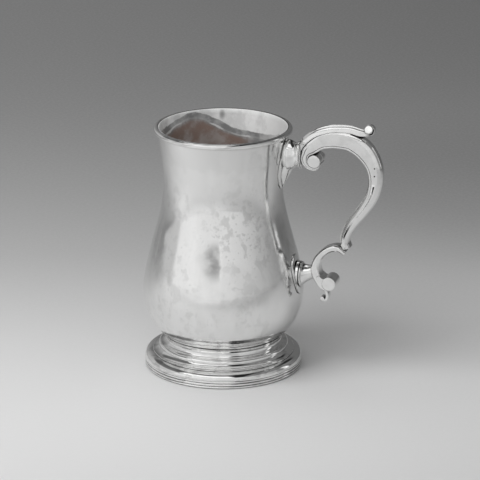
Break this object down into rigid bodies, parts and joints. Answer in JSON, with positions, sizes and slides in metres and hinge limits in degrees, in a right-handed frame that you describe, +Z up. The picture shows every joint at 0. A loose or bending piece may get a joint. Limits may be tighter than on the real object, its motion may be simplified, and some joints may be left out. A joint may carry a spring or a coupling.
{
  "type": "tankard",
  "caption": "Pint tankard of baluster form, with a moulded lip, a spreading moulded foot and a double-scroll handle capped by a fluted leaf.",
  "frame": {"origin": "on the table plane, under the middle of the whole piece's bounding box, handle included", "axes": "+Z up, +X from the body towards the handle, +Y square to the handle's plane"},
  "size_m": [0.1312, 0.0864, 0.1406],
  "materials": {
    "raised_silver": "polished",
    "moulded_silver": "polished",
    "cast_silver": "polished"
  },
  "bodies": {
    "root": {"body": "raised_silver", "lip_moulding": "moulded_silver", "foot_collar": "moulded_silver", "foot_skirt": "moulded_silver", "foot_base_wire": "moulded_silver", "upper_drop": "cast_silver", "upper_socket": "cast_silver", "handle_collar": "cast_silver", "handle_half_left": "cast_silver", "handle_half_right": "cast_silver", "leaf_cap": "cast_silver", "lower_scroll": "cast_silver", "lower_socket": "cast_silver", "lower_plate": "cast_silver", "tail_curl": "cast_silver"}
  },
  "joints": []
}
